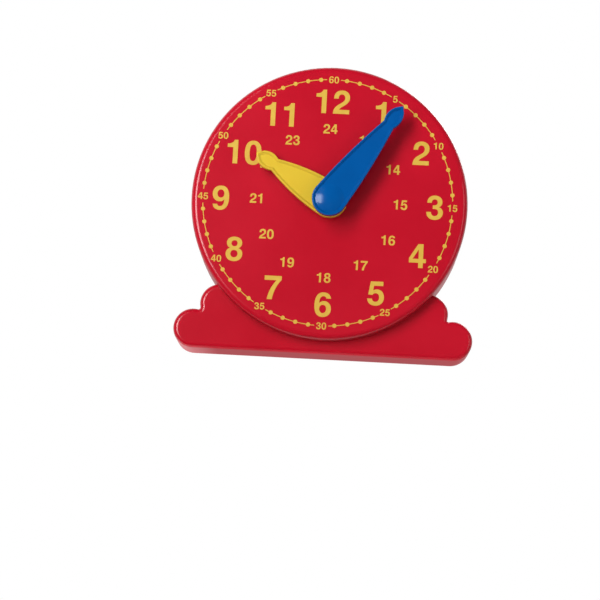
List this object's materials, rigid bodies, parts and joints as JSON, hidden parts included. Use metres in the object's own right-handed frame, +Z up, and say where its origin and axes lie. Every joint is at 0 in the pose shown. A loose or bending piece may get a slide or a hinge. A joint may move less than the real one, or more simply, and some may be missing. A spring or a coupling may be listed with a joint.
{
  "type": "geared teaching clock",
  "caption": "Pupil's geared teaching clock: a round dial on a scalloped base, with hour and minute hands joined by gears so that turning the minute hand moves the hour hand.",
  "frame": {"origin": "middle of the flat underside of the base, on the table, halfway between its front and rear faces", "axes": "+Z up; +X to the right as the dial is read; the dial and hands face -Y, so +Y runs into the clock"},
  "size_m": [0.119, 0.0383, 0.115],
  "materials": {
    "red_plastic": "glossy moulded red",
    "cover_plastic": "fine-textured moulded red",
    "blue_plastic": "glossy moulded blue",
    "yellow_plastic": "glossy moulded yellow",
    "white_plastic": "natural acetal",
    "washer_plastic": "black nylon",
    "steel": "drawn steel",
    "zinc_steel": "zinc-plated",
    "spring_steel": "spring steel",
    "figure_ink": "pad-printed yellow ink"
  },
  "bodies": {
    "housing": {"front_housing": "red_plastic", "rear_cover": "cover_plastic", "cover_screws": "zinc_steel", "gear_bridge": "white_plastic", "bridge_screws": "zinc_steel", "dial_bush": "red_plastic", "arbor_bush": "white_plastic", "intermediate_axle": "steel", "axle_clip": "spring_steel", "axle_front_washer": "washer_plastic", "axle_rear_washer": "washer_plastic", "wheel_spacer": "washer_plastic", "friction_spring": "spring_steel"},
    "minute_works": {"minute_hand": "blue_plastic", "minute_arbor": "steel", "minute_pinion": "white_plastic", "arbor_clip": "spring_steel", "arbor_washer": "washer_plastic", "friction_washer": "washer_plastic", "hand_spacer": "washer_plastic"},
    "intermediate_works": {"intermediate_gear": "white_plastic"},
    "hour_works": {"hour_hand": "yellow_plastic", "hour_wheel": "yellow_plastic"}
  },
  "joints": [
    {"name": "minute_turn", "type": "hinge", "parent": "housing", "child": "minute_works", "pos_m": [0, 0, 0.06], "axis": [0, 1, 0], "continuous": true},
    {"name": "intermediate_turn", "type": "hinge", "parent": "housing", "child": "intermediate_works", "pos_m": [0, 0, 0.036], "axis": [0, 1, 0], "continuous": true},
    {"name": "hour_turn", "type": "hinge", "parent": "housing", "child": "hour_works", "pos_m": [0, 0, 0.06], "axis": [0, 1, 0], "continuous": true}
  ],
  "couplings": [
    {"joint": "intermediate_turn", "follows": "minute_turn", "ratio": -0.33333},
    {"joint": "hour_turn", "follows": "minute_turn", "ratio": 0.083333}
  ]
}
